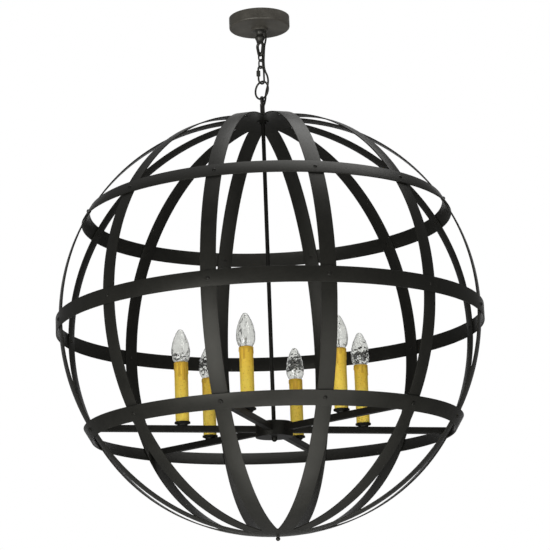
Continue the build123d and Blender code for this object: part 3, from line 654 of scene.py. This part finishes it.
dress(["pole_plates", "bottom_finial", "bottom_bolt"], strap_paint)
dress([f"arm_{n}" for n in ARM_NUMBERS], shaded_cluster_paint)
dress(["hub_body", "hub_cover", "hub_cap_nut", "candle_cups", "center_rod", "pole_washers", "pole_locknuts"],
      shaded_cluster_paint)
dress(["canopy", "screw_collar"], canopy_paint)
dress(["canopy_loop", "upper_chain_link", "lower_chain_link", "quick_link", "quick_link_nut", "hanging_ring",
       "stem_eye"], link_paint)
print("painted nodes dressed")

# %% [markdown]
# ## Candle sleeves
#
# Each candle is an amber sleeve with wax drips run down from its rim. The drips are real relief: short and
# long ones side by side, each a low ridge that ends in a rounded bead. The script works out how far every
# point of the sleeve stands proud, and keeps that amount as an attribute, so that the finish can darken the
# wax along the drips. The amber is deepest near the rim and gets paler further down.

# %% Sleeve shape
CANDLE_RADIUS = 0.231
candle_places = [CANDLE_RADIUS * on_ball(a, 0) for a in ARM_AZIMUTHS]
sleeve_low, sleeve_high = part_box("candle_sleeves")
SLEEVE_FOOT = sleeve_low.z
SLEEVE_TOP = sleeve_high.z
SLEEVE_RADIUS = 0.01675
SLEEVE_BORE = 0.0155
SLEEVE_STEPS = 110
SLEEVE_SIDES = 88
RIM_ROUND = 0.0006
DRIP_COUNT = 10
DRIP_END = 0.004
BEAD_LENGTH = 0.003
BEAD_SWELL = 0.45
RIM_WAX = 0.0004
RIM_FADE = 0.007
WOBBLE = 0.00012
FULL_DRIP = 0.0012


def wax_drips(seed):
    """Angle, half width, length and thickness of each drip on one sleeve."""
    dice = random.Random(seed)
    drips = []
    for k in range(DRIP_COUNT):
        angle = 2 * math.pi * (k + dice.uniform(-0.3, 0.3)) / DRIP_COUNT
        length = dice.choice([dice.uniform(0.010, 0.024), dice.uniform(0.026, 0.062)])
        drips.append((angle, dice.uniform(0.15, 0.28), length, dice.uniform(0.0007, 0.0013)))
    return drips


def wax_relief(drips, angle, depth):
    """How far the wax stands proud of the sleeve at this angle and depth below the rim."""
    proud = RIM_WAX * math.exp(-depth / RIM_FADE)
    for centre_angle, half_width, length, thickness in drips:
        off = (angle - centre_angle + math.pi) % (2 * math.pi) - math.pi
        if abs(off) > half_width or depth > length:
            continue
        across = math.cos(off / half_width * math.pi / 2) ** 2
        left = (length - depth) / DRIP_END
        ending = math.sqrt(1 - (1 - left) ** 2) if left < 1 else 1.0
        bead = 1 + BEAD_SWELL * math.exp(-((length - depth - BEAD_LENGTH) / BEAD_LENGTH) ** 2)
        proud = max(proud, thickness * across * ending * bead)
    return proud


def wax_sleeve(number, place):
    """One sleeve with its drips, and the height of the wax at each point as an attribute."""
    drips = wax_drips(40 + number)
    straight = SLEEVE_TOP - RIM_ROUND - SLEEVE_FOOT
    outline = [(SLEEVE_RADIUS, SLEEVE_FOOT + straight * k / SLEEVE_STEPS) for k in range(SLEEVE_STEPS + 1)]
    outline += [(SLEEVE_RADIUS - 0.0002, SLEEVE_TOP - 0.0002), (SLEEVE_RADIUS - RIM_ROUND, SLEEVE_TOP),
                (SLEEVE_BORE + 0.0003, SLEEVE_TOP - 0.0001), (SLEEVE_BORE, SLEEVE_TOP - 0.0005),
                (SLEEVE_BORE, SLEEVE_FOOT), (SLEEVE_RADIUS, SLEEVE_FOOT)]

    def shift(angle, step):
        if step > SLEEVE_STEPS:
            return 0.0
        height = outline[step][1]
        spot = Vector((3 * math.cos(angle), 3 * math.sin(angle), 60 * height + number))
        wobble = WOBBLE * noise.noise(spot)
        return (wax_relief(drips, angle, SLEEVE_TOP - height) + wobble) * min(1.0, step / 8)

    made = turned(f"wax_sleeve_{number + 1}", outline, place, SLEEVE_SIDES, shift)
    layer = made.data.attributes.new("drip", "FLOAT", "POINT")
    for k in range(len(made.data.vertices)):
        step, side = divmod(k, SLEEVE_SIDES)
        layer.data[k].value = shift(2 * math.pi * side / SLEEVE_SIDES, step) / FULL_DRIP
    return made


print("sleeves stand from", round(1000 * SLEEVE_FOOT, 1), "to", round(1000 * SLEEVE_TOP, 1), "mm")

# %% Sleeve finish
AMBER_DEPTH = 0.025
PALE_DEPTH = 0.085

amber_wax, tree, shader = start_material("amber_wax")
place = node(tree, "ShaderNodeTexCoord").outputs["Object"]
drip = node(tree, "ShaderNodeAttribute", attribute_name="drip").outputs["Fac"]
mottle = noise_at(tree, place, 130.0, detail=4.0)
stain = noise_at(tree, place, 330.0)
stretch_map = node(tree, "ShaderNodeMapping", {"Vector": place, "Scale": (260.0, 260.0, 26.0)}).outputs[0]
streak = noise_at(tree, stretch_map, 1.0, detail=3.0)
tone = remapped(tree, mottle, 0.3, 0.7)
height = node(tree, "ShaderNodeSeparateXYZ", {"Vector": place}).outputs["Z"]
below = remapped(tree, height, SLEEVE_TOP - PALE_DEPTH, SLEEVE_TOP - AMBER_DEPTH, 0.65, 0.0)
tone = calculated(tree, "ADD", calculated(tree, "MULTIPLY", tone, 0.35), below)
colour = mixed(tree, tone, (0.85, 0.54, 0.048, 1), (0.98, 0.72, 0.105, 1))
edge = remapped(tree, drip, 0.08, 0.5)
rise = calculated(tree, "MULTIPLY", edge, calculated(tree, "SUBTRACT", 1.0, edge))
streak_mask = remapped(tree, streak, 0.5, 0.72)
brown = calculated(tree, "MINIMUM", calculated(tree, "MULTIPLY", rise, 2.4), 1.0)
brown = calculated(tree, "MAXIMUM", calculated(tree, "MULTIPLY", brown, 0.85),
                   calculated(tree, "MULTIPLY", streak_mask, 0.10))
brown = calculated(tree, "MAXIMUM", brown, calculated(tree, "MULTIPLY", edge, 0.38))
colour = mixed(tree, brown, colour, (0.36, 0.15, 0.012, 1))
spot = remapped(tree, stain, 0.62, 0.70, 0.0, 0.6)
colour = mixed(tree, spot, colour, (0.33, 0.14, 0.015, 1))
bump = node(tree, "ShaderNodeBump", {"Height": mottle, "Strength": 0.3, "Distance": 0.0006})
feed(tree, shader, {
    "Base Color": colour, "Normal": bump.outputs[0], "Roughness": 0.48, "Specular IOR Level": 0.35,
    "Subsurface Weight": 0.12, "Subsurface Radius": (1.0, 0.5, 0.15), "Subsurface Scale": 0.003})
for number, place in enumerate(candle_places):
    sleeve = wax_sleeve(number, place)
    sleeve.data.materials.append(amber_wax)
    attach(sleeve, "globe")
    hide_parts("candle_sleeves")
    print(sleeve.name, len(sleeve.data.polygons), "faces")

# %% [markdown]
# ## Bulbs
#
# The bulbs are flame-shaped, of clear glass with a crinkled surface that breaks up what is behind it. A
# smooth shell with a bump would do from afar, but the crinkle also shows on the outline, so it is pressed
# into the outer wall of a real two-walled shell. Inside stands the glass stem with its wires and filament.

# %% Bulb glass
GLASS_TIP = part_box("bulb_glass_1")[1].z
GLASS_WALL = 0.0009
BULB_SIDES = 72
CRINKLE_DEPTH = 0.00046
CRINKLE_START = 0.002
CRINKLE_GROWTH = 0.008
SMOOTH_TIP_RADIUS = 0.006
FOLD_STRETCH = 0.55
FOLDS_PER_METRE = 215
FINE_FOLDS_PER_METRE = 470
BULB_OUTLINE = [
    (13.0, -10.1), (13.0, -5.0), (13.0, -0.8), (13.8, 0.5), (15.6, 1.8), (17.4, 3.4),
    (19.0, 5.6), (20.5, 9.0), (21.7, 13.5), (22.6, 19.0), (23.0, 26.0), (22.8, 33.0),
    (22.1, 40.0), (21.2, 45.0), (20.0, 50.0), (18.5, 55.0), (16.6, 60.0), (14.4, 65.0),
    (12.0, 70.0), (9.7, 75.0), (7.8, 78.5), (5.9, 81.0), (3.6, 82.6), (0.0, 83.0),
]


def smooth_outline(outline, steps):
    """More points on a smooth line through the given ones."""
    finer = []
    for k in range(len(outline) - 1):
        before = outline[max(k - 1, 0)]
        first, second = outline[k], outline[k + 1]
        after = outline[min(k + 2, len(outline) - 1)]
        for s in range(steps):
            t = s / steps
            finer.append(tuple(
                0.5 * (2 * b + (c - a) * t + (2 * a - 5 * b + 4 * c - d) * t * t
                       + (3 * b - a - 3 * c + d) * t ** 3)
                for a, b, c, d in zip(before, first, second, after)))
    return finer + [outline[-1]]


outer_wall = [(r / 1000, SLEEVE_TOP + h / 1000) for r, h in smooth_outline(BULB_OUTLINE, 4)]
inner_wall = [(max(r - GLASS_WALL, 0), min(z, GLASS_TIP - GLASS_WALL)) for r, z in outer_wall]
inner_wall = [p for p in inner_wall if p[0] > 0.0004] + [(0, GLASS_TIP - GLASS_WALL)]
glass_outline = outer_wall + inner_wall[::-1] + outer_wall[:1]


def bulb_shell(number, place):
    """One glass envelope; its crinkle starts a little above the sleeve and fades out at the tip."""
    turn = Vector((11.3 * number, 7.1 * number, 0))

    def crinkle(angle, step):
        if step >= len(outer_wall):
            return 0.0
        radius, z = outer_wall[step]
        grip = min(1.0, max(0.0, (z - SLEEVE_TOP - CRINKLE_START) / CRINKLE_GROWTH))
        grip *= min(1.0, radius / SMOOTH_TIP_RADIUS)
        spot = Vector((radius * math.cos(angle), radius * math.sin(angle), FOLD_STRETCH * z))
        folds = noise.noise(spot * FOLDS_PER_METRE + turn)
        folds += 0.5 * noise.noise(spot * FINE_FOLDS_PER_METRE + turn)
        return CRINKLE_DEPTH * grip * folds

    return turned(f"bulb_envelope_{number + 1}", glass_outline, place, BULB_SIDES, crinkle)


clear_glass, tree, shader = start_material("crinkled_glass")
place = node(tree, "ShaderNodeTexCoord").outputs["Object"]
ripple = noise_at(tree, place, 330.0)
bump = node(tree, "ShaderNodeBump", {"Height": ripple, "Strength": 0.12, "Distance": 0.0008})
feed(tree, shader, {
    "Base Color": (0.80, 0.805, 0.785, 1), "Normal": bump.outputs[0], "Roughness": 0.0, "IOR": 1.48,
    "Transmission Weight": 1.0})
print("bulb outline", len(glass_outline), "points")

# %% Bulb stem, wires and filament
WIRE_RADIUS = 0.00028
FILAMENT_RADIUS = 0.00012
COIL_RADIUS = 0.00055
COIL_RISE = 0.0022
COIL_TURNS = 15
TURN_STEPS = 8

wire_finish, tree, shader = start_material("lead_wire")
place = node(tree, "ShaderNodeTexCoord").outputs["Object"]
colour = mixed(tree, noise_at(tree, place, 300.0), (0.45, 0.43, 0.40, 1), (0.66, 0.64, 0.60, 1))
feed(tree, shader, {"Base Color": colour, "Metallic": 1.0, "Roughness": 0.35})


def bulb_insides(number, place):
    """The glass stem of one bulb, and its two wires with the coiled filament between them."""
    lift = place + Vector((0, 0, SLEEVE_TOP))
    turn = math.radians(40 * number + 25)
    side = Vector((math.cos(turn), math.sin(turn), 0))
    rise = Vector((0, 0, 1))
    stem = turned(f"bulb_stem_{number + 1}", [
        (0, -0.0095), (0.0085, -0.0095), (0.0078, -0.006), (0.0048, 0.001), (0.0034, 0.007), (0.0030, 0.015),
        (0.0034, 0.020), (0.0022, 0.0225), (0, 0.023)], lift, 24)
    wires = []
    tips = []
    for hand in (-1, 1):
        path = [lift + hand * side * x + rise * h for x, h in
                ((0.0016, 0.0215), (0.0018, 0.026), (0.0036, 0.031), (0.0058, 0.036), (0.0066, 0.0385))]
        tips.append(path[-1])
        wires.append(tube("wire", path, WIRE_RADIUS, 8))
    coil = []
    for k in range(COIL_TURNS * TURN_STEPS + 1):
        share = k / (COIL_TURNS * TURN_STEPS)
        angle = 2 * math.pi * k / TURN_STEPS
        axis_point = tips[0].lerp(tips[1], share) + rise * COIL_RISE * math.sin(math.pi * share)
        coil.append(axis_point + COIL_RADIUS * (math.cos(angle) * rise + math.sin(angle) * side.cross(rise)))
    wires.append(tube("filament", coil, FILAMENT_RADIUS, 5))
    return stem, joined(f"bulb_wires_{number + 1}", wires)


for number, place in enumerate(candle_places):
    body = f"bulb_{number + 1}"
    shell = bulb_shell(number, place)
    stem, wires = bulb_insides(number, place)
    for piece, finish in ((shell, clear_glass), (stem, clear_glass), (wires, wire_finish)):
        piece.data.materials.append(finish)
        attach(piece, body)
    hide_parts(f"bulb_glass_{number + 1}")
    print(shell.name, len(shell.data.polygons), "faces")

# %% [markdown]
# ## Hidden pieces of the candles
#
# The screw caps, the sockets and the steel parts under the canopy hardly show, but they are there when a
# bulb is taken out or the canopy comes down, so they get brass, black plastic and zinc finishes of their
# own.

# %% Cap, socket, steel and cord finishes
def metal(name, first, second, roughness, per_metre):
    """Bare metal whose tone and gloss vary a little."""
    made, tree, shader = start_material(name)
    place = node(tree, "ShaderNodeTexCoord").outputs["Object"]
    cloud = noise_at(tree, place, per_metre, detail=3.0)
    colour = mixed(tree, cloud, (*first, 1), (*second, 1))
    rough = calculated(tree, "ADD", roughness, calculated(tree, "MULTIPLY", cloud, 0.15))
    feed(tree, shader, {"Base Color": colour, "Roughness": rough, "Metallic": 1.0})
    return made


def plastic(name, first, second, roughness, per_metre):
    """Moulded or extruded plastic with a slight grain."""
    made, tree, shader = start_material(name)
    place = node(tree, "ShaderNodeTexCoord").outputs["Object"]
    grain = noise_at(tree, place, per_metre)
    colour = mixed(tree, grain, (*first, 1), (*second, 1))
    bump = node(tree, "ShaderNodeBump", {"Height": grain, "Strength": 0.2, "Distance": 0.0002})
    feed(tree, shader, {"Base Color": colour, "Normal": bump.outputs[0], "Roughness": roughness})
    return made


cap_brass = metal("cap_brass", (0.55, 0.40, 0.16), (0.72, 0.55, 0.25), 0.22, 400.0)
zinc = metal("zinc_plate", (0.42, 0.42, 0.42), (0.58, 0.58, 0.57), 0.3, 260.0)
socket_black = plastic("socket_black", (0.012, 0.012, 0.012), (0.03, 0.03, 0.03), 0.45, 500.0)
cord_black = plastic("cord_black", (0.013, 0.013, 0.010), (0.035, 0.034, 0.026), 0.4, 700.0)
dress([f"bulb_cap_{n}" for n in ARM_NUMBERS], cap_brass)
dress(["crossbar", "threaded_nipple", "nipple_locknut", "socket_stems"], zinc)
dress(["sockets"], socket_black)
dress(["inner_wiring"], cord_black)
for stretch in cord_pieces:
    stretch.data.materials.append(cord_black)
print("hidden pieces dressed")

# %% [markdown]
# ## Light, backdrop and floor
#
# The photo is a plain white studio picture, lit mostly from low in front. Two large soft lamps stand there,
# left and right of the camera, near enough that the front straps get clearly more light than those at the
# back. A third lies below the ball and lights the undersides, and a fourth hangs above. The floor is far
# enough down to stay clear of them all. The world is white to the camera and through glass, and metal
# mirrors that white only from above and from behind the light. To everything else it gives a weak fill.

# %% Studio
BACKDROP_STRENGTH = 1.0
FILL_STRENGTH = 0.12
FLOOR_LEVEL = -3.4
FLOOR_REACH = 14

scene.view_settings.view_transform = "Standard"
world = bpy.data.worlds.new("white_studio")
scene.world = world
world.use_nodes = True
tree = world.node_tree
tree.nodes.clear()
light_path = node(tree, "ShaderNodeLightPath")
direction = node(tree, "ShaderNodeTexCoord").outputs["Generated"]
overhead = node(tree, "ShaderNodeVectorMath", {0: direction, 1: (0.0, 0.1, 0.995)},
                operation="DOT_PRODUCT").outputs["Value"]
overhead = remapped(tree, overhead, 0.72, 0.95, 0.05, 0.85)
behind = node(tree, "ShaderNodeVectorMath", {0: direction, 1: (0.0, 0.973, 0.231)},
              operation="DOT_PRODUCT").outputs["Value"]
behind = remapped(tree, behind, 0.90, 0.97)
mirrored = calculated(tree, "MAXIMUM", overhead, behind)
mirrored = calculated(tree, "MULTIPLY", mirrored, light_path.outputs["Is Glossy Ray"])
seen = calculated(tree, "MAXIMUM", light_path.outputs["Is Camera Ray"],
                  light_path.outputs["Is Transmission Ray"])
seen = calculated(tree, "MAXIMUM", seen, mirrored)
fill = node(tree, "ShaderNodeBackground", {"Color": (1, 1, 1, 1), "Strength": FILL_STRENGTH})
backdrop = node(tree, "ShaderNodeBackground", {"Color": (1, 1, 1, 1), "Strength": BACKDROP_STRENGTH})
mix = node(tree, "ShaderNodeMixShader", {0: seen, 1: fill.outputs[0], 2: backdrop.outputs[0]})
node(tree, "ShaderNodeOutputWorld", {"Surface": mix.outputs[0]})


def softbox(name, place, size, power):
    """A round soft lamp that faces the middle of the ball."""
    data = bpy.data.lights.new(name, "AREA")
    data.shape = "DISK"
    data.size = size
    data.energy = power
    lamp = bpy.data.objects.new(name, data)
    aim = (GLOBE_CENTRE - Vector(place)).to_track_quat("-Z", "Y")
    lamp.matrix_world = Matrix.Translation(place) @ aim.to_matrix().to_4x4()
    scene.collection.objects.link(lamp)


softbox("low_left_softbox", (-1.35, -2.3, -1.75), 2.0, 59)
softbox("low_right_softbox", (1.2, -2.0, -2.0), 2.0, 23)
softbox("floor_softbox", (0.1, -0.5, -2.27), 1.4, 11)
softbox("overhead_softbox", (0.5, 0.0, 1.2), 1.9, 20)

corners = [(FLOOR_REACH * x, FLOOR_REACH * y, FLOOR_LEVEL)
           for x, y in ((-1, -1), (1, -1), (1, 1), (-1, 1))]
floor = mesh_object("floor", corners, [(0, 1, 2, 3)], False)
floor_finish, tree, shader = start_material("pale_floor")
feed(tree, shader, {"Base Color": (0.85, 0.85, 0.84, 1), "Roughness": 0.8})
floor.data.materials.append(floor_finish)
print("studio ready")
